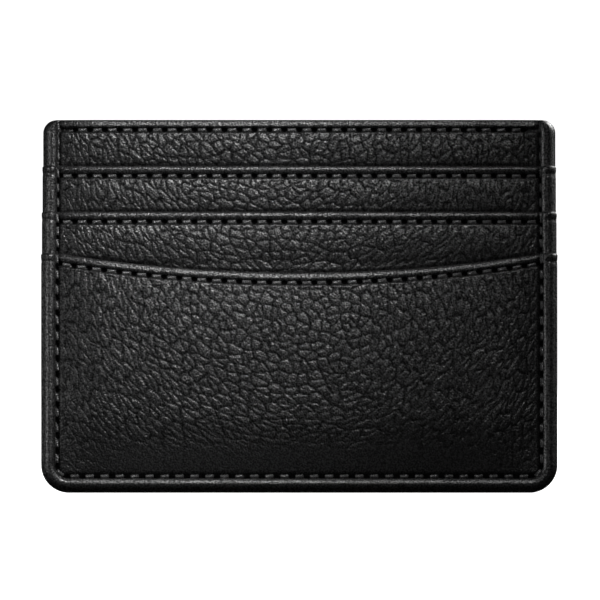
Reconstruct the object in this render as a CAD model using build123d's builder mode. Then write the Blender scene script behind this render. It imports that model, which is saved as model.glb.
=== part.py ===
"""Slim leather card holder: a flat sewn stack of pocket panels inside one edge binding.

The holder stands upright on its bottom seam. X is the width, +Z is up towards the pocket
mouths, the slots face -Y and the plain back faces +Y. All sizes are in millimetres.
"""

import math
import os

from build123d import *

os.makedirs("parts", exist_ok=True)

# overall size
WIDTH = 100.0
HEIGHT = 72.1

# room for one standard card, 85.6 x 54.0 x 0.76
SLOT_GAP = 0.80

# material thicknesses
BINDING = 0.35
BACK_LEATHER = 0.50
BODY_LEATHER = 0.50
SLOT_LEATHER = 0.40
FRONT_LEATHER = 0.55
STIFFENER = 0.15
LINING = 0.10

# heights of the pocket mouths above the bottom edge
BODY_TOP = 71.8
UPPER_MOUTH = 63.3
MIDDLE_MOUTH = 54.4
FRONT_MOUTH_CENTRE = 42.6
FRONT_MOUTH_RADIUS = 292.7

# panel outline, inside the binding
PANEL_HALF = 49.1
PANEL_BOTTOM = 0.9
PANEL_CORNER = 4.5
PANEL_TOP_CORNER = 2.4

# turned edges: how far they are eased off, as a share of the sheet's thickness
TURN_EASE = 0.35

# linings end a little below the mouth; welts fill the margins round each slot
LINING_DROP = 1.0
WELT_INNER = 45.4
STRIP_GAP = 0.05
SEAM_FLOOR = 3.3
UPPER_FLOOR = 18.0
MIDDLE_FLOOR = 9.0
FLOOR_STRIP = 2.6

# edge binding: half width and top of each layer of the strip
BINDING_LAYERS = [(49.55, 72.1, 2.7), (49.70, 63.65, 1.0), (49.85, 54.75, 1.0), (50.0, 47.10, 1.0)]
BINDING_CORNER = 5.4
BINDING_ROLL = 0.8
WINDOW_HALF = 47.2
WINDOW_BOTTOM = 2.8
WINDOW_CORNER = 2.6

# stitching
STITCH_LENGTH = 1.8
STITCH_WIDTH = 0.5
STITCH_HEIGHT = 0.25
STITCH_ROUND = 0.12
STITCH_PITCH = 2.9
SIDE_SEAM = 46.85
BOTTOM_SEAM = 3.27
SEAM_CORNER = 2.2
MOUTH_SEAM_DROP = 1.9
MOUTH_ROW_HALF = 44.95
TOP_ROW_HALF = 42.05
BOTTOM_ROW_HALF = 43.4

# lowest and highest side stitch on each layer of the strip, from the top layer down
SIDE_ROWS = [(65.2, 70.9), (56.2, 61.9), (48.3, 53.1), (6.6, 45.2)]

# positions through the thickness, counted from the back
THICKNESS = (2 * BINDING + BACK_LEATHER + BODY_LEATHER + 2 * SLOT_LEATHER + FRONT_LEATHER
             + 2 * STIFFENER + 5 * LINING + 4 * SLOT_GAP)
Y_BACK = THICKNESS / 2
Y_BACK_PANEL = Y_BACK - BINDING
Y_BACK_STIFFENER = Y_BACK_PANEL - BACK_LEATHER
Y_BACK_LINING = Y_BACK_STIFFENER - STIFFENER
Y_CENTRE_WELT = Y_BACK_LINING - LINING
Y_BODY_LINING = Y_CENTRE_WELT - SLOT_GAP
Y_BODY_STIFFENER = Y_BODY_LINING - LINING
Y_BODY_PANEL = Y_BODY_STIFFENER - STIFFENER
Y_UPPER_WELT = Y_BODY_PANEL - BODY_LEATHER
Y_UPPER_LINING = Y_UPPER_WELT - SLOT_GAP
Y_UPPER_PANEL = Y_UPPER_LINING - LINING
Y_MIDDLE_WELT = Y_UPPER_PANEL - SLOT_LEATHER
Y_MIDDLE_LINING = Y_MIDDLE_WELT - SLOT_GAP
Y_MIDDLE_PANEL = Y_MIDDLE_LINING - LINING
Y_FRONT_WELT = Y_MIDDLE_PANEL - SLOT_LEATHER
Y_FRONT_LINING = Y_FRONT_WELT - SLOT_GAP
Y_FRONT_PANEL = Y_FRONT_LINING - LINING
Y_FRONT_FACE = Y_FRONT_PANEL - FRONT_LEATHER


def upright(y):
    """Sketch plane facing -Y at depth y, with X across and Z up."""
    return Plane.XZ.offset(-y)


def outline(half_width, bottom, top, bottom_radius, top_radius=0.0):
    """Upright plate outline, rounded at the lower corners and, if asked, at the upper ones."""
    with BuildSketch() as shape:
        with Locations((0, (bottom + top) / 2)):
            Rectangle(2 * half_width, top - bottom)
        fillet(shape.vertices().group_by(Axis.Y)[0], bottom_radius)
        if top_radius > 0:
            fillet(shape.vertices().group_by(Axis.Y)[-1], top_radius)
    return shape.sketch


def panel_outline(top, top_radius=0.0):
    """Outline of a panel that fills the binding up to the height top."""
    return outline(PANEL_HALF, PANEL_BOTTOM, top, PANEL_CORNER, top_radius)


def front_mouth_height(x):
    """Height of the scooped front pocket mouth at x."""
    return FRONT_MOUTH_CENTRE + FRONT_MOUTH_RADIUS - math.sqrt(FRONT_MOUTH_RADIUS**2 - x**2)


def front_outline():
    """Outline of the front pocket, whose top edge is a shallow arc."""
    with BuildSketch() as shape:
        add(panel_outline(UPPER_MOUTH))
        with Locations((0, FRONT_MOUTH_CENTRE + FRONT_MOUTH_RADIUS)):
            Circle(FRONT_MOUTH_RADIUS, mode=Mode.SUBTRACT)
    return shape.sketch


def band(outline_face, x_low, x_high, z_low, z_high):
    """The part of an outline inside one rectangle."""
    with BuildSketch() as shape:
        add(outline_face)
        with Locations(((x_low + x_high) / 2, (z_low + z_high) / 2)):
            Rectangle(x_high - x_low, z_high - z_low, mode=Mode.INTERSECT)
    return shape.sketch


def welt_strips(top, floor, top_radius=0.0):
    """Strips that fill a pocket's margins: both sides, the bottom seam and a raised floor."""
    full = panel_outline(top, top_radius)
    inner = WELT_INNER - STRIP_GAP
    strips = [
        band(full, -PANEL_HALF, -WELT_INNER, 0, top),
        band(full, WELT_INNER, PANEL_HALF, 0, top),
        band(full, -inner, inner, 0, SEAM_FLOOR),
    ]
    if floor > SEAM_FLOOR:
        strips.append(band(full, -inner, inner, floor - FLOOR_STRIP, floor))
    return strips


def spaced(low, high):
    """Evenly spaced stitch positions from low to high, close to the stitch pitch."""
    gaps = max(1, round((high - low) / STITCH_PITCH))
    return [low + (high - low) * i / gaps for i in range(gaps + 1)]


def side_places(low, high):
    """Stitches of the perimeter seam on both sides, between two heights."""
    return [(side * SIDE_SEAM, z, 90) for side in (-1, 1) for z in spaced(low, high)]


def bottom_places():
    """Stitches of the perimeter seam across the bottom and round its two corners."""
    places = [(x, BOTTOM_SEAM, 0) for x in spaced(-BOTTOM_ROW_HALF, BOTTOM_ROW_HALF)]
    reach = SEAM_CORNER * (1 - math.sqrt(0.5))
    for side in (-1, 1):
        places.append((side * (SIDE_SEAM - reach), BOTTOM_SEAM + reach, side * 45))
    return places


def scoop_places():
    """Stitches that follow the scooped mouth of the front pocket."""
    places = []
    for x in spaced(-MOUTH_ROW_HALF, MOUTH_ROW_HALF):
        tilt = math.degrees(math.asin(x / FRONT_MOUTH_RADIUS))
        places.append((x, front_mouth_height(x) - MOUTH_SEAM_DROP, tilt))
    return places


def mouth_places(height, half_row=MOUTH_ROW_HALF):
    """Stitches of a straight row below a pocket mouth."""
    return [(x, height - MOUTH_SEAM_DROP, 0) for x in spaced(-half_row, half_row)]


def finish(piece, name):
    """Label a finished piece and write its part file."""
    piece.part.label = name
    export_step(piece.part, f"parts/{name}.step")


def make_sheet(name, face, y, thickness):
    """A flat sheet that lies between its back at depth y and its front."""
    with BuildPart() as sheet:
        with BuildSketch(upright(y)):
            add(face)
        extrude(amount=thickness)
    finish(sheet, name)


def make_panel(name, face, y, thickness):
    """A leather panel whose top edge is turned over, so both its long top edges are eased."""
    with BuildPart() as panel:
        with BuildSketch(upright(y)):
            add(face)
        extrude(amount=thickness)
        tops = [edge for edge in panel.edges() if edge.length > WINDOW_HALF]
        tops = ShapeList(tops).sort_by(lambda edge: edge.center().Z)[-2:]
        chamfer(tops, TURN_EASE * thickness)
    finish(panel, name)


def make_welt(name, top, floor, y, top_radius=0.0):
    """The separate strips that hold two pocket layers apart by one card's room."""
    with BuildPart() as welt:
        for strip in welt_strips(top, floor, top_radius):
            with BuildSketch(upright(y)):
                add(strip)
            extrude(amount=SLOT_GAP)
    finish(welt, name)


def add_stitches(places, y, direction=1):
    """Rounded thread bars on the leather face at depth y; direction 1 is towards -Y."""
    with BuildSketch(upright(y)) as row:
        for x, z, angle in places:
            with Locations(Location((x, z, 0), (0, 0, angle))):
                SlotOverall(STITCH_LENGTH, STITCH_WIDTH)
    extrude(row.sketch, amount=direction * STITCH_HEIGHT)


def round_stitches(stitching, side):
    """Round the outer edges of the bars that face one way: side 0 is -Y, side -1 is +Y."""
    edges = []
    for bar in stitching.solids():
        outer = bar.faces().filter_by(Axis.Y).sort_by(Axis.Y)[side]
        edges += outer.edges()
    fillet(edges, STITCH_ROUND)


def make_stitch_row(name, places, y):
    """A straight or scooped row of stitches on the front of one panel."""
    with BuildPart() as stitching:
        add_stitches(places, y)
        round_stitches(stitching, 0)
    finish(stitching, name)


# ---- panels, stiffeners and linings, from the back to the front ----

full_outline = panel_outline(BODY_TOP, PANEL_TOP_CORNER)

make_panel("back_panel", full_outline, Y_BACK_PANEL, BACK_LEATHER)
make_sheet("back_stiffener", full_outline, Y_BACK_STIFFENER, STIFFENER)
make_sheet("back_lining", full_outline, Y_BACK_LINING, LINING)
make_welt("centre_pocket_welt", BODY_TOP, SEAM_FLOOR, Y_CENTRE_WELT, PANEL_TOP_CORNER)
make_sheet("body_lining", full_outline, Y_BODY_LINING, LINING)
make_sheet("body_stiffener", full_outline, Y_BODY_STIFFENER, STIFFENER)
make_panel("body_panel", full_outline, Y_BODY_PANEL, BODY_LEATHER)

make_welt("upper_slot_welt", UPPER_MOUTH, UPPER_FLOOR, Y_UPPER_WELT)
make_sheet("upper_slot_lining", panel_outline(UPPER_MOUTH - LINING_DROP), Y_UPPER_LINING, LINING)
make_panel("upper_slot_panel", panel_outline(UPPER_MOUTH), Y_UPPER_PANEL, SLOT_LEATHER)

make_welt("middle_slot_welt", MIDDLE_MOUTH, MIDDLE_FLOOR, Y_MIDDLE_WELT)
make_sheet("middle_slot_lining", panel_outline(MIDDLE_MOUTH - LINING_DROP), Y_MIDDLE_LINING, LINING)
make_panel("middle_slot_panel", panel_outline(MIDDLE_MOUTH), Y_MIDDLE_PANEL, SLOT_LEATHER)

make_welt("front_pocket_welt", front_mouth_height(WELT_INNER), SEAM_FLOOR, Y_FRONT_WELT)
make_sheet("front_pocket_lining", panel_outline(FRONT_MOUTH_CENTRE - LINING_DROP), Y_FRONT_LINING,
           LINING)
make_panel("front_pocket_panel", front_outline(), Y_FRONT_PANEL, FRONT_LEATHER)


# ---- edge binding ----

# depth of the stack's front face under each layer of the strip, and the stack's top there
STACK_LAYERS = [
    (full_outline, Y_UPPER_WELT),
    (panel_outline(UPPER_MOUTH), Y_MIDDLE_WELT),
    (panel_outline(MIDDLE_MOUTH), Y_FRONT_WELT),
    (front_outline(), Y_FRONT_FACE),
]


def binding_layer(half_width, top, top_corner, y_front):
    """One solid block of the strip, rolled round its outer front and back edges."""
    with BuildPart() as block:
        with BuildSketch(upright(Y_BACK)):
            add(outline(half_width, 0, top, BINDING_CORNER, top_corner))
        extrude(amount=Y_BACK - y_front)
        rims = block.faces().filter_by(Axis.Y)
        fillet([edge for face in rims for edge in face.edges()], BINDING_ROLL)
    return block.part


binding_blocks = [
    binding_layer(half_width, top, corner, y_face - BINDING)
    for (half_width, top, corner), (_, y_face) in zip(BINDING_LAYERS, STACK_LAYERS)
]

with BuildPart() as edge_binding:
    add(binding_blocks)
    for face, y_face in STACK_LAYERS:
        with BuildSketch(upright(Y_BACK_PANEL)):
            add(face)
        extrude(amount=Y_BACK_PANEL - y_face, mode=Mode.SUBTRACT)
    with BuildSketch(upright(Y_BACK)):
        add(outline(WINDOW_HALF, WINDOW_BOTTOM, 2 * HEIGHT, WINDOW_CORNER))
    extrude(amount=THICKNESS, mode=Mode.SUBTRACT)
finish(edge_binding, "edge_binding")


# ---- stitching ----

make_stitch_row("body_top_stitching", mouth_places(HEIGHT, TOP_ROW_HALF), Y_UPPER_WELT)
make_stitch_row("upper_slot_stitching", mouth_places(UPPER_MOUTH), Y_MIDDLE_WELT)
make_stitch_row("middle_slot_stitching", mouth_places(MIDDLE_MOUTH), Y_FRONT_WELT)
make_stitch_row("front_pocket_stitching", scoop_places(), Y_FRONT_FACE)

with BuildPart() as back_top_stitching:
    add_stitches(mouth_places(HEIGHT, TOP_ROW_HALF), Y_BACK_PANEL, -1)
    round_stitches(back_top_stitching, -1)
finish(back_top_stitching, "back_top_stitching")

with BuildPart() as front_perimeter_stitching:
    for (low, high), (_, y_face) in zip(SIDE_ROWS, STACK_LAYERS):
        add_stitches(side_places(low, high), y_face)
    add_stitches(bottom_places(), Y_FRONT_FACE)
    round_stitches(front_perimeter_stitching, 0)
finish(front_perimeter_stitching, "front_perimeter_stitching")

with BuildPart() as back_perimeter_stitching:
    add_stitches(side_places(SIDE_ROWS[-1][0], SIDE_ROWS[0][1]), Y_BACK_PANEL, -1)
    add_stitches(bottom_places(), Y_BACK_PANEL, -1)
    round_stitches(back_perimeter_stitching, -1)
finish(back_perimeter_stitching, "back_perimeter_stitching")
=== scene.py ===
"""Black pebble-grained leather card holder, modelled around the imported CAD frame.

Lengths are in millimetres in this script and become metres when a mesh is made. X is the
width, Z the height and -Y the front. Every leather panel is one closed mesh whose top edge is
turned over, and whose grain is real relief.
"""

import math

import bmesh
import bpy
import numpy as np
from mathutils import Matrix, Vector


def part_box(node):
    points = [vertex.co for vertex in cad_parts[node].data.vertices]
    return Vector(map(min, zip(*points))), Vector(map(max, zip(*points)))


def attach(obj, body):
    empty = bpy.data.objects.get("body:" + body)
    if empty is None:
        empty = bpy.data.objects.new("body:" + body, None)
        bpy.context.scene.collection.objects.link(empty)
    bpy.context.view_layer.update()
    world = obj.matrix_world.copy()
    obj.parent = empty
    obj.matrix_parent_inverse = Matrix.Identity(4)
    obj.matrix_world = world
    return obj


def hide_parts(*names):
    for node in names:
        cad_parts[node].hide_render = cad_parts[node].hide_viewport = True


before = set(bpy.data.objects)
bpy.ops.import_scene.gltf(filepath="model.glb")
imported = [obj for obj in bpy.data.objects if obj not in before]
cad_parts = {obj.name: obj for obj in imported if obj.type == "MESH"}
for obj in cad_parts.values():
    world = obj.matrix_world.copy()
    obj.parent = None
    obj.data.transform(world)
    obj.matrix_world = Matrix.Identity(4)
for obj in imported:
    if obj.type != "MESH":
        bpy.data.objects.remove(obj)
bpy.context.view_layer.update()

MM = 0.001


def node_box(node):
    """Lowest and highest corner of a CAD node, in millimetres."""
    low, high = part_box(node)
    return np.array(low) / MM, np.array(high) / MM


# ---- dimensions taken from the frame ----

BODY_TOP = node_box("body_panel")[1][2]
UPPER_MOUTH = node_box("upper_slot_panel")[1][2]
MIDDLE_MOUTH = node_box("middle_slot_panel")[1][2]
FRONT_MOUTH_END = node_box("front_pocket_panel")[1][2]
PANEL_HALF = node_box("front_pocket_panel")[1][0]
PANEL_BOTTOM = node_box("front_pocket_panel")[0][2]
OUTER_HALF = node_box("edge_binding")[1][0]
HEIGHT = BODY_TOP + 0.45

# ---- shape of the sewn stack ----

SCOOP_RADIUS = 292.7

# height of the scooped mouth at its lowest point
SCOOP_CENTRE = FRONT_MOUTH_END - SCOOP_RADIUS + math.sqrt(SCOOP_RADIUS**2 - PANEL_HALF**2)

SIDE_SEAM = 46.85
BOTTOM_SEAM = 3.27
SEAM_CORNER = 2.2
MOUTH_SEAM_DROP = 1.95
STITCH_PITCH = 2.9
STITCH_HALF = 0.82
MOUTH_ROW_HALF = 44.95
TOP_ROW_HALF = 42.05
BOTTOM_ROW_HALF = 43.4

# lowest and highest side stitch on each layer
SIDE_ROWS = {"body": (65.2, 70.9), "upper": (56.2, 61.9), "middle": (48.3, 53.1),
             "front": (6.6, 45.2), "back": (6.6, 70.9)}

# depth of each layer's outer face along the perimeter seam, where the stack is pulled tight
SEAM_DEPTH = {"body": 1.15, "upper": 0.05, "middle": -1.05, "front": -2.15, "back": 2.75}
TURNED_THICKNESS = 1.0
CREST_DROP = {"body": 1.15, "upper": 0.64, "middle": 0.72, "front": 0.85, "back": 1.15}

# the turned edge from inside the pocket to its crest: share of the crest's drop below the mouth,
# and depth from the crest
TURNED_PROFILE = np.array([
    (1.40, 1.00), (0.50, 0.97), (0.14, 0.84), (0.00, 0.64), (0.05, 0.46), (0.22, 0.28),
    (0.54, 0.11), (1.00, 0.00),
])
SHEET_HALF = SIDE_SEAM + 0.2
WELT_INNER = 45.4
FLOOR_STRIP = 2.6
BINDING_CORNER = 5.4
TOP_CORNER = 2.6
STRIP_WIDTH = 2.90
GRAIN_HEIGHT = 0.21
FLAT_GRAIN = 0.8  # grain value of smooth leather
PIT_DEPTH = 0.42
GROOVE_DEPTH = 0.55
GROOVE_DROP = 1.68  # the groove is deepest this far under a mouth
GROOVE_END = (2.14, 2.62)  # and rises to the grain between these
LINING_THICKNESS = 0.10
BOARD_THICKNESS = 0.15
BOARD_DROP = 9.0
LINING_DROP = 3.0  # linings and margins stop this far under a mouth, clear of the needle holes

# how far each layer's strip of binding stays inside the outermost one
STRIP_INSET = {"body": 0.30, "upper": 0.20, "middle": 0.10, "front": 0.0}

# half width and half height of the needle holes
MOUTH_HOLE = (0.56, 0.42)
SIDE_HOLE = (0.36, 0.52)
BOTTOM_HOLE = (0.52, 0.36)
HOLE_REACH = 1.3  # a hole leaves the leather flat beyond this distance

# thread: three plies, lifted in the middle of a stitch and sunk at its ends
PLY_RADIUS = 0.190
PLY_OFFSET = 0.150
TWIST_LENGTH = 1.5
THREAD_RISE = 0.34
THREAD_FLATNESS = 0.62
THREAD_SINK = 0.10
STITCH_SLANT = 0.04
STITCH_STATIONS = 13
PLY_SIDES = 8


def smooth(value, low, high):
    """Smooth step from 0 at low to 1 at high."""
    part = np.clip((value - low) / (high - low), 0.0, 1.0)
    return part * part * (3.0 - 2.0 * part)


def rise(distance, reach):
    """Rounded rise from 0 at a seam to 1 at the given reach."""
    return np.sin(np.pi / 2 * np.clip(distance / reach, 0.0, 1.0))


def bell(value, centre, width):
    """Bell curve, 1 at its centre."""
    return np.exp(-(((value - centre) / width) ** 2))


# ---- repeatable noise and leather grain ----


def chance(i, j, seed):
    """Repeatable number from 0 to 1 for a whole-number place."""
    wave = np.sin(i * 127.1 + j * 311.7 + seed * 74.7) * 43758.5453
    return wave - np.floor(wave)


def soft_noise(x, z, size, seed):
    """Value noise from -1 to 1 with features of the given size."""
    gx = x / size
    gz = z / size
    ix = np.floor(gx)
    iz = np.floor(gz)
    fx = smooth(gx - ix, 0.0, 1.0)
    fz = smooth(gz - iz, 0.0, 1.0)
    low = chance(ix, iz, seed) * (1 - fx) + chance(ix + 1, iz, seed) * fx
    high = chance(ix, iz + 1, seed) * (1 - fx) + chance(ix + 1, iz + 1, seed) * fx
    return 2.0 * (low * (1 - fz) + high * fz) - 1.0


def cells(x, z, angle, stretch, size, seed):
    """Distance to the nearest cell border, in cells, and the cell's own number.

    Distances are measured in a frame turned to the flow and stretched along it, so the cells
    grow long where the leather was pulled.
    """
    along_x = np.cos(angle) / stretch
    along_z = np.sin(angle) / stretch
    across_x = -np.sin(angle) * stretch
    across_z = np.cos(angle) * stretch
    gx = x / size
    gz = z / size
    ix = np.floor(gx)
    iz = np.floor(gz)

    def centre(di, dj):
        """Vector to the centre of one cell, in the stretched frame."""
        ci = ix + di
        cj = iz + dj
        dx = ci + chance(ci, cj, seed) - gx
        dz = cj + chance(ci, cj, seed + 5) - gz
        return dx * along_x + dz * along_z, dx * across_x + dz * across_z, ci, cj

    reach = 4
    steps = [(di, dj) for di in range(-reach, reach + 1) for dj in range(-reach, reach + 1)]
    nearest = np.full(gx.shape, 99.0)
    near_u = np.zeros(gx.shape)
    near_v = np.zeros(gx.shape)
    number = np.zeros(gx.shape)
    for di, dj in steps:
        u, v, ci, cj = centre(di, dj)
        away = u * u + v * v
        closer = away < nearest
        nearest = np.where(closer, away, nearest)
        near_u = np.where(closer, u, near_u)
        near_v = np.where(closer, v, near_v)
        number = np.where(closer, chance(ci, cj, seed + 9), number)
    border = np.full(gx.shape, 9.0)
    for di, dj in steps:
        u, v, _, _ = centre(di, dj)
        du = u - near_u
        dv = v - near_v
        apart = np.hypot(du, dv)
        reach_to = ((u + near_u) * du + (v + near_v) * dv) / (2.0 * np.maximum(apart, 0.001))
        border = np.where(apart > 0.25, np.minimum(border, reach_to), border)
    return np.maximum(border, 0.0), number


def grain_relief(x, z, flow_centre, pull, seed):
    """Height of the pebble grain, from about 0 in the creases to 1 on the pebbles."""
    away_x = x - flow_centre[0]
    away_z = z - flow_centre[1]
    distance = np.hypot(away_x, away_z)
    angle = np.arctan2(away_z, away_x) + np.pi / 2
    angle = angle + 0.22 * soft_noise(x, z, 9.0, seed + 1)
    stretch = 1.0 + pull * smooth(distance, 6.0, 40.0)
    wx = x + 0.25 * soft_noise(x, z, 1.7, seed + 2) + 0.08 * soft_noise(x, z, 0.6, seed + 3)
    wz = z + 0.25 * soft_noise(x, z, 1.7, seed + 4) + 0.08 * soft_noise(x, z, 0.6, seed + 6)
    border, number = cells(wx, wz, angle, stretch, 1.95, seed)
    fine_border, fine_number = cells(wx, wz, angle, stretch, 0.95, seed + 20)
    pebble = 1.0 - np.exp(-border / 0.115)
    split = 1.0 - np.exp(-fine_border / 0.12)
    rough = soft_noise(x, z, 0.45, seed + 8)
    height = pebble * (0.68 + 0.20 * number + 0.12 * split)
    return height + 0.05 * (fine_number - 0.5) * pebble + 0.05 * rough


# ---- mesh helpers ----


def new_object(name, vertices, faces, attributes=None):
    """Make a smooth-shaded mesh object from millimetre vertices."""
    mesh = bpy.data.meshes.new(name)
    mesh.from_pydata([tuple(v) for v in np.asarray(vertices) * MM], [], faces)
    mesh.polygons.foreach_set("use_smooth", [True] * len(mesh.polygons))
    for key, values in (attributes or {}).items():
        layer = mesh.attributes.new(key, "FLOAT", "POINT")
        layer.data.foreach_set("value", np.ravel(values).astype(np.float32))
    shell = bmesh.new()
    shell.from_mesh(mesh)
    bmesh.ops.recalc_face_normals(shell, faces=shell.faces)
    shell.to_mesh(mesh)
    shell.free()
    made = bpy.data.objects.new(name, mesh)
    bpy.context.scene.collection.objects.link(made)
    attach(made, "root")
    return made


def grid_faces(rows, columns, start=0):
    """Quads of a grid whose vertices run along the rows."""
    index = start + np.arange(rows * columns).reshape(rows, columns)
    quads = np.stack([index[:-1, :-1], index[:-1, 1:], index[1:, 1:], index[1:, :-1]], axis=-1)
    return quads.reshape(-1, 4).tolist()


def smooth_curve(points, steps):
    """Catmull-Rom curve through the points, with the given steps between neighbours."""
    padded = np.vstack([2 * points[0] - points[1], points, 2 * points[-1] - points[-2]])
    curve = []
    for a, b, c, d in zip(padded[:-3], padded[1:-2], padded[2:-1], padded[3:]):
        for t in np.arange(steps) / steps:
            curve.append(0.5 * (2 * b + (c - a) * t + (2 * a - 5 * b + 4 * c - d) * t**2
                                + (3 * b - a - 3 * c + d) * t**3))
    return np.array(curve + [points[-1]])


# ---- stitch places ----


def spaced(low, high):
    """Evenly spaced stitch places from low to high, close to the stitch pitch."""
    gaps = max(1, round((high - low) / STITCH_PITCH))
    return [low + (high - low) * i / gaps for i in range(gaps + 1)]


def between_stitches(low, high):
    """Places midway between the stitches, and half a gap past both ends of the row."""
    places = np.array(spaced(low, high))
    half = (places[1] - places[0]) / 2
    return list(places - half) + [places[-1] + half]


# ---- leather panels ----


def straight_mouth(height):
    """A mouth at one height."""
    return lambda x: np.full_like(x, height)


def rounded_mouth(x):
    """The body's mouth: straight, and rounded off with the strip's corner at both ends."""
    straight = OUTER_HALF - STRIP_INSET["body"] - TOP_CORNER - 0.15
    beyond = np.clip(np.abs(x) - straight, 0.0, TOP_CORNER - 0.1)
    return HEIGHT - TOP_CORNER + np.sqrt(TOP_CORNER**2 - beyond**2)


def scooped_mouth(x):
    """The front pocket's mouth: an arc that dips in the middle."""
    return SCOOP_CENTRE + SCOOP_RADIUS - np.sqrt(SCOOP_RADIUS**2 - x**2)


class Panel:
    """One leather panel: where its mouth is, how it bulges, and how its grain flows."""

    def __init__(self, name, layer, mouth, next_mouth, visible, spacing, flow_centre, pull, seed):
        self.name = name
        self.layer = layer
        self.mouth = mouth
        self.next_mouth = next_mouth
        self.visible = visible
        self.spacing = spacing
        self.flow_centre = flow_centre
        self.pull = pull
        self.seed = seed
        self.side = 1.0 if layer == "back" else -1.0
        self.crest = CREST_DROP[layer]
        self.row_half = TOP_ROW_HALF if layer in ("body", "back") else MOUTH_ROW_HALF

    def crown(self, x, z, below):
        """How far the panel stands out from its seam plane at x, z, below its mouth."""
        side = rise(SIDE_SEAM - np.abs(x), 10.0 if self.layer == "front" else 8.0)
        wide = rise(SIDE_SEAM - np.abs(x), 26.0)
        if self.layer == "front":
            low = rise(z - BOTTOM_SEAM, 12.5)
            tall = rise(z - BOTTOM_SEAM, 26.0)
            near_mouth = 1.0 - 0.40 * np.exp(-np.maximum(below, 0.0) / 5.0)
            return (1.75 * side * low + 0.75 * wide * tall) * near_mouth
        if self.layer == "back":
            low = rise(z - BOTTOM_SEAM, 8.0)
            return 0.30 * side * low + 0.15 * wide * low
        low = np.clip(below - 2.6, 0.0, 7.5)
        lean = 0.0165 * low**2 - 0.09 * low - 0.16 * (1.0 - np.exp(-low / 1.2))
        above_next = z - self.next_mouth(x)
        lean = lean + 0.30 * (1.0 - smooth(above_next, -0.2, 0.7))
        return (0.80 - lean) * side

    def turned_edge(self, below):
        """Relief of the turned edge: it rolls into a deep sewn groove, then the grain swells."""
        past_crest = (below - self.crest) / (GROOVE_DROP - self.crest)
        rolled = 1.0 - np.sqrt(1.0 - np.clip(past_crest, 0.0, 1.0) ** 2)
        return -GROOVE_DEPTH * rolled * (1.0 - smooth(below, *GROOVE_END))

    def holes(self):
        """Needle holes as x, z, half width and half height: between all stitches on the panel."""
        found = []
        for x in between_stitches(-self.row_half, self.row_half):
            found.append((x, self.mouth(np.array([x]))[0] - MOUTH_SEAM_DROP, *MOUTH_HOLE))
        for z in between_stitches(*SIDE_ROWS[self.layer]):
            found += [(side * SIDE_SEAM, z, *SIDE_HOLE) for side in (-1, 1)]
        if self.layer in ("front", "back"):
            for x in between_stitches(-BOTTOM_ROW_HALF, BOTTOM_ROW_HALF):
                found.append((x, BOTTOM_SEAM, *BOTTOM_HOLE))
        return found

    def pits(self, x, z):
        """Depth of the needle holes, 1 at a hole's middle."""
        depth = np.zeros_like(x)
        for hole_x, hole_z, half_x, half_z in self.holes():
            near = (np.abs(x - hole_x) < HOLE_REACH) & (np.abs(z - hole_z) < HOLE_REACH)
            away = ((x[near] - hole_x) / half_x) ** 2 + ((z[near] - hole_z) / half_z) ** 2
            depth[near] = np.maximum(depth[near], np.exp(-away))
        return depth

    def seam_trough(self, x, z):
        """Where the leather is pressed into a sewn seam, 1 along the stitches."""
        trough = bell(self.mouth(x) - z, MOUTH_SEAM_DROP, 0.50)
        trough = np.maximum(trough, smooth(np.abs(x), SIDE_SEAM - 1.3, SIDE_SEAM - 0.5))
        if self.layer in ("front", "back"):
            trough = np.maximum(trough, smooth(BOTTOM_SEAM - z, -1.1, -0.4))
        return trough

    def smooth_base(self, x, z):
        """Outer face without grain, as a depth."""
        below = self.mouth(x) - z
        edge = self.turned_edge(below) * rise(SIDE_SEAM + 0.6 - np.abs(x), 1.5)
        proud = self.crown(x, z, below) + edge
        under_strip = smooth(np.abs(x), SIDE_SEAM - 1.1, SIDE_SEAM + 0.1)
        if self.layer in ("front", "back"):
            under_strip = np.maximum(under_strip, smooth(BOTTOM_SEAM - z, -1.1, 0.1))
        return SEAM_DEPTH[self.layer] + self.side * (proud - 0.30 * under_strip)

    def inner_face(self, x, z, behind):
        """Depth of a plain surface that follows the panel a set distance inside its outer face."""
        face = SEAM_DEPTH[self.layer] - self.side * behind
        return face + self.side * self.crown(x, z, self.mouth(x) - z)

    def grain_strength(self, x, z):
        """Where the grain shows: not on the turned band, and weak beside the seams."""
        below = self.mouth(x) - z
        shown = smooth(below, MOUTH_SEAM_DROP + 0.25, MOUTH_SEAM_DROP + 0.95)
        shown = shown * smooth(SIDE_SEAM - np.abs(x), 0.4, 1.8)
        if self.layer in ("front", "back"):
            creased = 0.75 * smooth(np.abs(x), 33.0, 42.0) * smooth(z - BOTTOM_SEAM, 0.4, 2.2)
            low_grain = 0.12 + 0.88 * smooth(z - BOTTOM_SEAM, 2.5, 8.5)
            shown = shown * np.maximum(low_grain, creased)
        return shown

    def sections(self, across):
        """Rows of the mesh, from inside the pocket over the mouth and down the outer face.

        Returns their depths, their heights, and how many belong to the turned leaf.
        """
        mouth = self.mouth(across)
        bottom = PANEL_BOTTOM + 0.8
        crest = self.smooth_base(across, mouth - self.crest)
        inside = crest - self.side * TURNED_THICKNESS
        rows = [(inside, mouth - drop) for drop in (8.0, 5.0, 2.8)]
        for share, back_from_crest in smooth_curve(TURNED_PROFILE, 3)[:-1]:
            rows.append((crest - self.side * back_from_crest, mouth - share * self.crest))
        turned = len(rows)

        drops = list(np.arange(self.crest, self.visible, self.spacing))
        drops += list(np.arange(self.visible + 1.0, np.max(mouth) - bottom + 3.0, 3.0))
        for drop in drops:
            z = np.maximum(mouth - drop, bottom)
            rows.append((self.smooth_base(across, z), z))
        return np.array([row[0] for row in rows]), np.array([row[1] for row in rows]), turned

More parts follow.
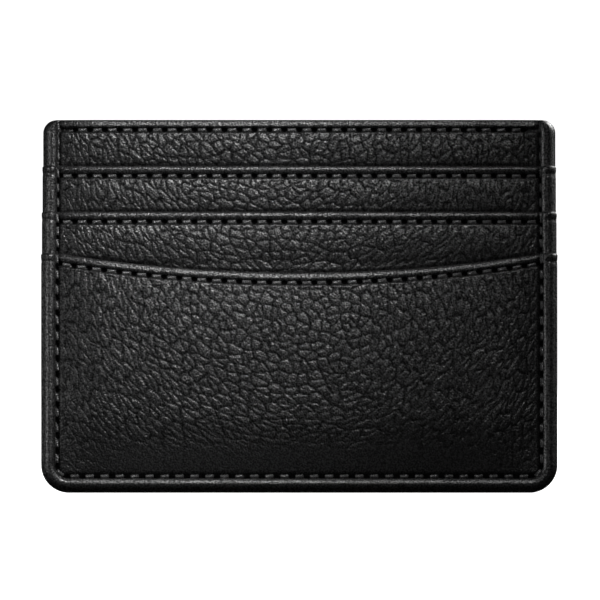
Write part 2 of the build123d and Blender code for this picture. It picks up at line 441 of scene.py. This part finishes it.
    def face_relief(self, x, z):
        """Grain, painted shade for the needle holes and the seam grooves, and how far the leather
        stands out, on the outer face.
        """
        strength = self.grain_strength(x, z)
        relief = grain_relief(x, z, self.flow_centre, self.pull, self.seed)
        pits = self.pits(x, z)
        # painted shade: 1 in the needle holes and 0.3 along the sewn seam grooves, which darkens
        # the colour and the shine there
        dark = np.maximum(pits, 0.30 * self.seam_trough(x, z))
        wobble = soft_noise(x, z, 5.0, self.seed + 40)
        grain = FLAT_GRAIN + (relief - FLAT_GRAIN) * strength
        raised = GRAIN_HEIGHT * (grain - FLAT_GRAIN) - PIT_DEPTH * pits + 0.03 * wobble
        return grain, dark, raised

    def build(self):
        """Make the closed mesh: turned leaf, rolled edge, grained face and inner side."""
        half = SIDE_SEAM + 1.0
        columns = int(round(2 * half / self.spacing)) + 1
        across = np.linspace(-half, half, columns)
        y, z, turned = self.sections(across)
        rows = len(y)
        x = np.tile(across, (rows, 1))

        grain = np.full(x.shape, FLAT_GRAIN)
        # painted shade of the needle holes and seam grooves, stored on the mesh for the material
        painted_shade = np.zeros(x.shape)
        face = slice(turned, None)
        grain[face], painted_shade[face], raised = self.face_relief(x[face], z[face])
        y[face] += self.side * raised

        faces = grid_faces(rows, columns)
        first = np.arange(columns)
        last = (rows - 1) * columns + first
        faces += np.stack([first[:-1], last[:-1], last[1:], first[1:]], axis=-1).tolist()
        for end in (0, columns - 1):
            faces.append((np.arange(rows) * columns + end).tolist())
        vertices = np.stack([x, y, z], axis=-1).reshape(-1, 3)
        return new_object(self.name, vertices, faces, {"grain": grain, "painted_shade": painted_shade})


# ---- edge binding: one rolled strip for each layer, overlapping like scales ----


def strip_section(layer, rear_lift):
    """Cross section of a strip: distance in from the outer edge, and depth, front to back."""
    seam = SEAM_DEPTH[layer]
    back = SEAM_DEPTH["back"]
    points = [
        (2.74, seam + 0.45), (2.90, seam + 0.02), (2.82, seam - 0.30), (2.58, seam - 0.56),
        (2.24, seam - 0.75), (1.84, seam - 0.82), (1.48, seam - 0.73), (1.14, seam - 0.53),
        (0.82, seam - 0.22), (0.46, seam + 0.22), (0.13, seam + 0.70),
        (0.00, (seam + back) / 2), (0.03, back - 0.60),
        (0.15, back - 0.10), (0.45, back + 0.26), (0.95, back + 0.50), (1.50, back + rear_lift),
        (2.05, back + 0.50), (2.50, back + 0.20), (2.72, back - 0.10), (2.62, back - 0.50),
    ]
    return smooth_curve(np.array(points), 3)


def straight_path(outer_half, top, length, side):
    """Stations down one side: outer point, inward direction and distance from the top end."""
    drops = np.concatenate([np.linspace(0.0, 2.8, 29), np.arange(3.1, length, 0.35)])
    return [(side * outer_half, top - drop, -side, 0.0, drop) for drop in drops]


def corner_path(centre, start, end, far):
    """Stations round a bottom corner between two angles, all equally far from the top end."""
    stations = []
    for angle in np.linspace(start, end, 22):
        c, s = math.cos(angle), math.sin(angle)
        stations.append((centre + BINDING_CORNER * c, BINDING_CORNER * (1 + s), -c, -s, far))
    return stations


def wrapped_path(outer_half, top):
    """Stations down the left side, round the bottom and up the right side."""
    left = straight_path(outer_half, top, top - BINDING_CORNER, -1)
    centre = outer_half - BINDING_CORNER
    around = corner_path(-centre, math.pi, 1.5 * math.pi, top)
    around += [(x, 0.0, 0.0, 1.0, top) for x in np.arange(-centre, centre, 0.38)[1:]]
    around += corner_path(centre, 1.5 * math.pi, 2 * math.pi, top)
    right = straight_path(outer_half, top, top - BINDING_CORNER, 1)[::-1]
    return left + around + right


def strip_ring(section, station, corner_cut):
    """The section set at one station, thinned towards the strip's top end.

    The body's strip is cut round at the top corner. The others swell at their end, then dip.
    """
    x, z, in_x, in_z, drop = station
    front, rear = section[:, 1].min(), section[:, 1].max()
    middle = (front + rear) / 2
    frontness = smooth(middle - section[:, 1], 0.0, middle - front)
    full = math.sqrt(max(0.0, 1 - max(0.0, 1 - drop / 0.5) ** 2))
    if corner_cut:
        cut = TOP_CORNER - math.sqrt(TOP_CORNER**2 - max(0.0, TOP_CORNER - drop) ** 2)
        inward = section[:, 0] * (1.0 - 0.55 * cut / TOP_CORNER)
        inward = np.minimum(cut + inward, STRIP_WIDTH)
        depth = middle + (section[:, 1] - middle) * (0.72 + 0.28 * full)
        swell = 0.0
    else:
        inward = 1.4 + (section[:, 0] - 1.4) * max(full, 0.02)
        depth = middle + (section[:, 1] - middle) * (0.25 + 0.75 * full)
        swell = 0.10 * bell(drop, 0.8, 0.6) - 0.12 * bell(drop, 1.75, 0.40)
    along = np.full(len(inward), x + z)
    wobble = 0.035 * soft_noise(along, section[:, 1] * 2.0, 2.3, 91)
    depth = depth - (swell + wobble) * frontness
    inward = inward - 0.4 * swell
    return np.stack([x + in_x * inward, depth, z + in_z * inward], axis=-1)


def strip_mesh(path, section, corner_cut):
    """Vertices and faces of a strip swept along its path, closed at both ends."""
    rings = np.array([strip_ring(section, station, corner_cut) for station in path])
    count = section.shape[0]
    faces = grid_faces(len(path), count)
    first = np.arange(len(path)) * count
    last = first + count - 1
    faces += np.stack([first[:-1], first[1:], last[1:], last[:-1]], axis=-1).tolist()
    faces.append(list(range(count)))
    faces.append([(len(path) - 1) * count + k for k in range(count)])
    return rings.reshape(-1, 3), faces


def joined(parts):
    """Several (vertices, faces) meshes as one."""
    vertices, faces, start = [], [], 0
    for part_vertices, part_faces in parts:
        vertices.append(part_vertices)
        faces += [[start + int(i) for i in face] for face in part_faces]
        start += len(part_vertices)
    return np.vstack(vertices), faces


def make_strip(name, layer, top, length, rear_lift):
    """The binding over one layer: all the way round for the front, both sides for the others."""
    outer_half = OUTER_HALF - STRIP_INSET[layer]
    section = strip_section(layer, rear_lift)
    if layer == "front":
        paths = [wrapped_path(outer_half, top)]
    else:
        paths = [straight_path(outer_half, top, length, side) for side in (-1, 1)]
    parts = [strip_mesh(path, section, layer == "body") for path in paths]
    return new_object(name, *joined(parts))


# ---- thread ----


def stitch_mesh(x, z, angle, depth, side):
    """One stitch of three twisted plies that dives into its needle holes at both ends."""
    stations = np.linspace(-1.0, 1.0, STITCH_STATIONS)
    along = stations * STITCH_HALF
    height = THREAD_RISE * np.sqrt(np.maximum(0.0, 1 - np.abs(stations) ** 3.0)) - THREAD_SINK
    parts = []
    for ply in range(3):
        turn = 2 * math.pi * (ply / 3 + along / TWIST_LENGTH)
        across = PLY_OFFSET * np.cos(turn)
        out = height + THREAD_FLATNESS * PLY_OFFSET * np.sin(turn)
        ring = np.linspace(0.0, 2 * math.pi, PLY_SIDES, endpoint=False)
        u = np.repeat(along[:, None], PLY_SIDES, axis=1)
        v = across[:, None] + PLY_RADIUS * np.cos(ring)[None, :]
        w = out[:, None] + THREAD_FLATNESS * PLY_RADIUS * np.sin(ring)[None, :]
        px = x + u * math.cos(angle) - v * math.sin(angle)
        pz = z + u * math.sin(angle) + v * math.cos(angle)
        py = depth + side * w
        index = np.arange(u.size).reshape(u.shape)
        turned = np.roll(index, -1, axis=1)
        quads = np.stack([index[:-1], turned[:-1], turned[1:], index[1:]], axis=-1)
        faces = quads.reshape(-1, 4).tolist() + [index[0].tolist(), index[-1].tolist()]
        parts.append((np.stack([px, py, pz], axis=-1).reshape(-1, 3), faces))
    return joined(parts)


def stitch_row(panel, places):
    """Stitches lying on a panel, each place given as x, z and angle."""
    parts = []
    for number, (x, z, angle) in enumerate(places):
        depth = panel.smooth_base(np.array([x]), np.array([z]))[0]
        tilt = 0.05 * (chance(number, 3, panel.seed) - 0.5) + STITCH_SLANT
        shift = 0.06 * (chance(number, 7, panel.seed) - 0.5)
        parts.append(stitch_mesh(x + shift, z, angle + tilt, depth, panel.side))
    return parts


def mouth_places(panel):
    """Stitches under a panel's mouth, turned to follow it."""
    places = []
    for x in spaced(-panel.row_half, panel.row_half):
        ends = panel.mouth(np.array([x - 0.5, x, x + 0.5]))
        places.append((x, ends[1] - MOUTH_SEAM_DROP, math.atan(ends[2] - ends[0])))
    return places


def side_places(layer):
    """Upright stitches down both side seams of a layer."""
    low, high = SIDE_ROWS[layer]
    return [(side * SIDE_SEAM, z, math.pi / 2) for side in (-1, 1) for z in spaced(low, high)]


def bottom_places():
    """Stitches along the bottom seam, and one across each corner."""
    places = [(x, BOTTOM_SEAM, 0.0) for x in spaced(-BOTTOM_ROW_HALF, BOTTOM_ROW_HALF)]
    reach = SEAM_CORNER * (1 - math.sqrt(0.5))
    for side in (-1, 1):
        places.append((side * (SIDE_SEAM - reach), BOTTOM_SEAM + reach, side * math.pi / 4))
    return places


# ---- inner sheets: linings, stiffeners and the folded margins between them ----


def slab(x, y, z, deeper):
    """A closed sheet from a grid of points and its copy moved in depth."""
    outer = np.stack([x, y, z], axis=-1).reshape(-1, 3)
    inner = outer + np.array([0.0, deeper, 0.0])
    count = x.size
    index = np.arange(count).reshape(x.shape)
    faces = grid_faces(*x.shape) + grid_faces(*x.shape, start=count)
    loop = [*index[0], *index[1:, -1], *index[-1, -2::-1], *index[-2:0:-1, 0]]
    for a, b in zip(loop, loop[1:] + loop[:1]):
        faces.append([int(a), int(b), int(b) + count, int(a) + count])
    return np.vstack([outer, inner]), faces


def inner_sheet(name, panel, top, behind, thickness):
    """A thin sheet that follows a panel from behind, a set distance inside its outer face."""
    xs = np.linspace(-SHEET_HALF, SHEET_HALF, 61)
    zs = np.linspace(PANEL_BOTTOM + 1.0, top, 41)
    x, z = np.meshgrid(xs, zs)
    face = panel.inner_face(x, z, behind)
    return new_object(name, *slab(x, face, z, -panel.side * thickness))


def welt_strips(name, panel, top, floor, behind, thickness):
    """Folded margins round one pocket: two sides, the bottom seam and a raised floor."""
    inner = WELT_INNER - 0.05
    boxes = [(-SHEET_HALF, -WELT_INNER, PANEL_BOTTOM + 1.0, top),
             (WELT_INNER, SHEET_HALF, PANEL_BOTTOM + 1.0, top),
             (-inner, inner, PANEL_BOTTOM + 1.0, BOTTOM_SEAM)]
    if floor > BOTTOM_SEAM:
        boxes.append((-inner, inner, floor - FLOOR_STRIP, floor))
    parts = []
    for left, right, low, high in boxes:
        xs = np.linspace(left, right, max(3, int((right - left) / 1.5)))
        zs = np.linspace(low, high, max(3, int((high - low) / 1.5)))
        x, z = np.meshgrid(xs, zs)
        face = panel.inner_face(x, z, behind)
        parts.append(slab(x, face, z, -panel.side * thickness))
    return new_object(name, *joined(parts))


# ---- materials ----


def new_material(name):
    """A node material with its shader, and short cuts to add and link nodes."""
    material = bpy.data.materials.new(name)
    material.use_nodes = True
    tree = material.node_tree
    shader = tree.nodes["Principled BSDF"]
    place = tree.nodes.new("ShaderNodeTexCoord")

    def texture(kind, **settings):
        """A texture node in the object's own coordinates."""
        node = tree.nodes.new(kind)
        for key, value in settings.items():
            if key in node.inputs:
                node.inputs[key].default_value = value
            else:
                setattr(node, key, value)
        tree.links.new(place.outputs["Object"], node.inputs["Vector"])
        return node

    return material, tree, shader, texture


def math_node(tree, operation, first, second):
    """A sum or product of two values, each a number or a socket."""
    node = tree.nodes.new("ShaderNodeMath")
    node.operation = operation
    for socket, value in zip(node.inputs, (first, second)):
        if isinstance(value, (int, float)):
            socket.default_value = value
        else:
            tree.links.new(value, socket)
    return node.outputs[0]


def map_range(tree, value, low, high, to_low, to_high):
    """The value with the range low to high moved to another range."""
    node = tree.nodes.new("ShaderNodeMapRange")
    node.inputs["From Min"].default_value = low
    node.inputs["From Max"].default_value = high
    node.inputs["To Min"].default_value = to_low
    node.inputs["To Max"].default_value = to_high
    tree.links.new(value, node.inputs["Value"])
    return node.outputs["Result"]


def bump(tree, height, distance, before=None):
    """Normals for a fine relief of the given height in millimetres, over an earlier one."""
    node = tree.nodes.new("ShaderNodeBump")
    node.inputs["Strength"].default_value = 1.0
    node.inputs["Distance"].default_value = distance * MM
    tree.links.new(height, node.inputs["Height"])
    if before is not None:
        tree.links.new(before, node.inputs["Normal"])
    return node.outputs["Normal"]


def mix_colours(tree, factor, first, second):
    """The first colour where the factor is 0, the second where it is 1."""
    node = tree.nodes.new("ShaderNodeMix")
    node.data_type = "RGBA"
    tree.links.new(factor, node.inputs["Factor"])
    node.inputs["A"].default_value = (*first, 1.0)
    node.inputs["B"].default_value = (*second, 1.0)
    return node.outputs["Result"]


def leather_material(name, micro, grained):
    """Black leather: pores that catch the light, rougher in the creases, and painted shade that
    makes the creases, needle holes and seam grooves darker and less shiny.
    """
    material, tree, shader, texture = new_material(name)
    pores = texture("ShaderNodeTexNoise", Scale=3000.0, Detail=0.0)
    specks = texture("ShaderNodeTexVoronoi", Scale=2100.0)
    wrinkles = texture("ShaderNodeTexNoise", Scale=1300.0, Detail=1.0, Roughness=0.5)
    cloud = texture("ShaderNodeTexNoise", Scale=90.0, Detail=3.0)
    fine = bump(tree, pores.outputs["Fac"], micro)
    fine = bump(tree, specks.outputs["Distance"], micro * 0.5, fine)
    fine = bump(tree, wrinkles.outputs["Fac"], micro * 0.6, fine)
    tree.links.new(fine, shader.inputs["Normal"])
    sparkle = map_range(tree, pores.outputs["Fac"], 0.32, 0.68, 0.30, 1.70)
    if grained:
        mark = tree.nodes.new("ShaderNodeAttribute")
        mark.attribute_name = "grain"
        # attribute of painted shade in the needle holes and seam grooves
        painted_shade_node = tree.nodes.new("ShaderNodeAttribute")
        painted_shade_node.attribute_name = "painted_shade"
        rough = map_range(tree, cloud.outputs["Fac"], 0.3, 0.7, 0.38, 0.44)
        worn = map_range(tree, mark.outputs["Fac"], 0.15, 0.85, 0.16, 0.0)
        rough = math_node(tree, "ADD", rough, worn)
        # painted shade: less shine in the creases of the grain
        shine = map_range(tree, mark.outputs["Fac"], 0.15, 0.75, 0.10, 0.55)
        shine = math_node(tree, "MULTIPLY", shine, sparkle)
        # painted shade: the needle holes and seam grooves lose their shine
        free_of_painted_shade = map_range(tree, painted_shade_node.outputs["Fac"], 0.0, 0.5, 1.0, 0.0)
        shine = math_node(tree, "MULTIPLY", shine, free_of_painted_shade)
        # painted shade: colour near black in the creases of the grain and in the needle holes and
        # seam grooves
        lit = map_range(tree, mark.outputs["Fac"], 0.0, 0.8, 0.0, 1.0)
        lit = math_node(tree, "MULTIPLY", lit, free_of_painted_shade)
        colour = mix_colours(tree, lit, (0.001, 0.001, 0.001), (0.0085, 0.0085, 0.0087))
    else:
        rough = map_range(tree, cloud.outputs["Fac"], 0.3, 0.7, 0.41, 0.47)
        shine = math_node(tree, "MULTIPLY", sparkle, 0.85)
        colour = mix_colours(tree, cloud.outputs["Fac"],
                             (0.005, 0.005, 0.005), (0.009, 0.009, 0.0093))
    tree.links.new(colour, shader.inputs["Base Color"])
    tree.links.new(shine, shader.inputs["Specular IOR Level"])
    tree.links.new(rough, shader.inputs["Roughness"])
    return material


def thread_material():
    """Black bonded thread: fine fibres along the twist and a low sheen."""
    material, tree, shader, texture = new_material("thread")
    fibre = texture("ShaderNodeTexNoise", Scale=9000.0, Detail=2.0)
    tree.links.new(bump(tree, fibre.outputs["Fac"], 0.012), shader.inputs["Normal"])
    colour = mix_colours(tree, fibre.outputs["Fac"], (0.016, 0.016, 0.016), (0.046, 0.046, 0.047))
    tree.links.new(colour, shader.inputs["Base Color"])
    shader.inputs["Roughness"].default_value = 0.36
    shader.inputs["Specular IOR Level"].default_value = 0.8
    shader.inputs["Sheen Weight"].default_value = 0.1
    return material


def cloth_material(name, dark, light, pitch):
    """Plain woven cloth: crossed thread ridges of the given pitch."""
    material, tree, shader, texture = new_material(name)
    scale = 1.0 / (pitch * MM) / 20 * math.pi
    warp = texture("ShaderNodeTexWave", Scale=scale, bands_direction="X")
    weft = texture("ShaderNodeTexWave", Scale=scale, bands_direction="Z")
    slub = texture("ShaderNodeTexNoise", Scale=2600.0, Detail=2.0)
    weave = math_node(tree, "MULTIPLY", warp.outputs["Fac"], weft.outputs["Fac"])
    height = math_node(tree, "ADD", weave, slub.outputs["Fac"])
    tree.links.new(bump(tree, height, 0.03), shader.inputs["Normal"])
    tree.links.new(mix_colours(tree, height, dark, light), shader.inputs["Base Color"])
    shader.inputs["Roughness"].default_value = 0.85
    return material


def board_material():
    """Grey-brown bonded fibre interlining."""
    material, tree, shader, texture = new_material("interlining")
    fibre = texture("ShaderNodeTexNoise", Scale=2200.0, Detail=4.0)
    tree.links.new(bump(tree, fibre.outputs["Fac"], 0.04), shader.inputs["Normal"])
    colour = mix_colours(tree, fibre.outputs["Fac"], (0.16, 0.15, 0.13), (0.34, 0.32, 0.29))
    tree.links.new(colour, shader.inputs["Base Color"])
    shader.inputs["Roughness"].default_value = 0.9
    return material


# ---- the assembly ----

grained = leather_material("grained leather", 0.085, True)
plain = leather_material("smooth leather", 0.060, False)
thread = thread_material()
lining = cloth_material("lining cloth", (0.008, 0.008, 0.009), (0.035, 0.035, 0.038), 0.35)
board = board_material()

node_of_panel = {"body": "body_panel", "upper": "upper_slot_panel", "middle": "middle_slot_panel",
                 "front": "front_pocket_panel", "back": "back_panel"}


def finish_piece(piece, material, slot, *nodes):
    """Give a piece its material, and let it stand for its CAD nodes. The slot is not used."""
    piece.data.materials.append(material)
    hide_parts(*nodes)


body = Panel("body_leather", "body", rounded_mouth, straight_mouth(UPPER_MOUTH),
             10.0, 0.18, (-6.0, 82.0), 0.70, 11)
upper = Panel("upper_slot_leather", "upper", straight_mouth(UPPER_MOUTH),
              straight_mouth(MIDDLE_MOUTH), 10.2, 0.18, (-4.0, 72.0), 1.05, 23)
middle = Panel("middle_slot_leather", "middle", straight_mouth(MIDDLE_MOUTH), scooped_mouth,
               13.0, 0.19, (-4.0, 63.0), 1.05, 37)
front = Panel("front_pocket_leather", "front", scooped_mouth, None,
              45.0, 0.220, (-1.6, 39.2), 0.95, 53)
back = Panel("back_leather", "back", rounded_mouth, None,
             70.0, 0.29, (0.0, 60.0), 0.30, 71)

for panel in (body, upper, middle, front, back):
    finish_piece(panel.build(), grained, "grained_leather", node_of_panel[panel.layer])

for name, layer, top, length, rear_lift in (
    ("binding_body_strip", "body", HEIGHT, 13.0, 0.52),
    ("binding_upper_strip", "upper", UPPER_MOUTH + 0.2, 13.0, 0.55),
    ("binding_middle_strip", "middle", MIDDLE_MOUTH + 0.2, 12.0, 0.58),
    ("binding_front_strip", "front", FRONT_MOUTH_END - 0.2, 0.0, 0.61),
):
    strip = make_strip(name, layer, top, length, rear_lift)
    finish_piece(strip, plain, "smooth_leather", "edge_binding")

for panel, name, node in ((body, "body_top_thread", "body_top_stitching"),
                          (upper, "upper_slot_thread", "upper_slot_stitching"),
                          (middle, "middle_slot_thread", "middle_slot_stitching"),
                          (front, "front_pocket_thread", "front_pocket_stitching"),
                          (back, "back_top_thread", "back_top_stitching")):
    row = new_object(name, *joined(stitch_row(panel, mouth_places(panel))))
    finish_piece(row, thread, "thread", node)

# each lining lies just inside its panel, and each stiffener between the two
for name, panel, mouth, behind, node in (
    ("back_lining_cloth", back, BODY_TOP, 1.02, "back_lining"),
    ("body_lining_cloth", body, BODY_TOP, 1.04, "body_lining"),
    ("upper_slot_lining_cloth", upper, UPPER_MOUTH, 0.78, "upper_slot_lining"),
    ("middle_slot_lining_cloth", middle, MIDDLE_MOUTH, 0.78, "middle_slot_lining"),
    ("front_pocket_lining_cloth", front, SCOOP_CENTRE, 0.92, "front_pocket_lining"),
):
    top = mouth - LINING_DROP
    cloth = inner_sheet(name, panel, top, behind, LINING_THICKNESS)
    finish_piece(cloth, lining, "lining_cloth", node)

for name, panel, mouth, floor, behind, thickness, node in (
    ("centre_pocket_margin", body, BODY_TOP, 0.0, 1.16, 0.26, "centre_pocket_welt"),
    ("upper_slot_margin", upper, UPPER_MOUTH, 18.0, 0.90, 0.10, "upper_slot_welt"),
    ("middle_slot_margin", middle, MIDDLE_MOUTH, 9.0, 0.90, 0.10, "middle_slot_welt"),
    ("front_pocket_margin", front, SCOOP_CENTRE, 0.0, 1.04, 0.05, "front_pocket_welt"),
):
    welt = welt_strips(name, panel, mouth - LINING_DROP, floor, behind, thickness)
    finish_piece(welt, lining, "lining_cloth", node)

for name, panel, behind, node in (("back_board", back, 0.70, "back_stiffener"),
                                  ("body_board", body, 0.70, "body_stiffener")):
    sheet = inner_sheet(name, panel, BODY_TOP - BOARD_DROP, behind, BOARD_THICKNESS)
    finish_piece(sheet, board, "stiffener_board", node)

perimeter = []
for panel in (body, upper, middle, front):
    perimeter += stitch_row(panel, side_places(panel.layer))
perimeter += stitch_row(front, bottom_places())
row = new_object("front_perimeter_thread", *joined(perimeter))
finish_piece(row, thread, "thread", "front_perimeter_stitching")

perimeter = stitch_row(back, side_places("back"))
perimeter += stitch_row(back, bottom_places())
row = new_object("back_perimeter_thread", *joined(perimeter))
finish_piece(row, thread, "thread", "back_perimeter_stitching")


# ---- camera, light and floor ----

VIEW_WIDTH = 116.2  # at the object, in millimetres
LENS = 300.0
SENSOR = 36.0

# floor and wall, in metres; the floor starts a hair from its middle, so no face has a zero edge
FLOOR_CENTRE = 0.0001
FLOOR_RADIUS = 1.5
WALL_CURVE = 0.6
WALL_HEIGHT = 2.6

camera_data = bpy.data.cameras.new("camera")
camera_data.lens = LENS
camera_data.sensor_width = SENSOR
camera_data.clip_end = 20.0
camera = bpy.data.objects.new("camera", camera_data)
bpy.context.scene.collection.objects.link(camera)
camera.location = (0.14 * MM, -VIEW_WIDTH * LENS / SENSOR * MM, 37.34 * MM)
camera.rotation_euler = (math.pi / 2, 0.0, 0.0)
bpy.context.scene.camera = camera


def aim(light, place, target):
    """Put a light at a place and point it at a target, both in millimetres."""
    light.location = Vector(place) * MM
    away = Vector(place) - Vector(target)
    light.rotation_euler = away.to_track_quat("Z", "Y").to_euler()


def add_light(name, kind, power, place, target):
    """A light of the given kind and power, and its settings."""
    data = bpy.data.lights.new(name, kind)
    data.energy = power
    light = bpy.data.objects.new(name, data)
    bpy.context.scene.collection.objects.link(light)
    aim(light, place, target)
    return data


def softbox(name, power, size, place, target=(0.0, 0.0, 36.0)):
    """A square light that faces the holder's middle."""
    data = add_light(name, "AREA", power, place, target)
    data.shape = "SQUARE"
    data.size = size * MM


def spot(name, power, radius, cone, place, target):
    """A soft-edged spot; cone is the radius of its pool of light at the target."""
    data = add_light(name, "SPOT", power, place, target)
    reach = (Vector(place) - Vector(target)).length
    data.spot_size = 2 * math.atan(cone / reach)
    data.spot_blend = 1.0
    data.shadow_soft_size = radius * MM


# power, then size and pool of light for a spot or size for a box, then place and target
spot("key", 9.8, 34.0, 67.0, (90.0, -310.0, 285.0), (-24.0, 0.0, 54.0))
spot("low", 2.2, 34.0, 40.0, (80.0, -310.0, 225.0), (50.0, 0.0, 3.0))
spot("fill", 6.0, 34.0, 22.0, (-10.0, -310.0, 220.0), (-22.0, 0.0, 27.0))
softbox("overhead", 0.35, 200.0, (200.0, -480.0, 560.0))
softbox("left", 1.0, 160.0, (-700.0, -300.0, 80.0))
softbox("rear", 9.0, 400.0, (640.0, 760.0, 420.0))
softbox("side", 0.25, 260.0, (900.0, 160.0, 260.0))

world = bpy.data.worlds.new("studio")
world.use_nodes = True
world.node_tree.nodes["Background"].inputs["Color"].default_value = (1.0, 1.0, 1.0, 1.0)
world.node_tree.nodes["Background"].inputs["Strength"].default_value = 0.006
bpy.context.scene.world = world
bpy.context.scene.view_settings.view_transform = "Standard"


def make_sweep():
    """A pale round floor that curves up into a wall, so every view has the same background."""
    profile = [(FLOOR_CENTRE, 0.0), (FLOOR_RADIUS, 0.0)]
    for t in np.linspace(0.1, math.pi / 2, 12):
        radius = FLOOR_RADIUS + WALL_CURVE * math.sin(t)
        profile.append((radius, WALL_CURVE - WALL_CURVE * math.cos(t)))
    profile.append((FLOOR_RADIUS + WALL_CURVE, WALL_HEIGHT))
    turns = np.linspace(0.0, 2 * math.pi, 65)
    vertices = [(r * math.cos(t), r * math.sin(t), z) for r, z in profile for t in turns]
    mesh = bpy.data.meshes.new("floor")
    mesh.from_pydata(vertices, [], grid_faces(len(profile), len(turns)))
    floor = bpy.data.objects.new("floor", mesh)
    bpy.context.scene.collection.objects.link(floor)
    material, _, shader, _ = new_material("floor")
    shader.inputs["Base Color"].default_value = (0.9, 0.9, 0.9, 1.0)
    shader.inputs["Roughness"].default_value = 0.9
    shader.inputs["Emission Color"].default_value = (1.0, 1.0, 1.0, 1.0)
    shader.inputs["Emission Strength"].default_value = 1.15
    mesh.materials.append(material)
    floor.visible_diffuse = False
    floor.visible_glossy = False


make_sweep()
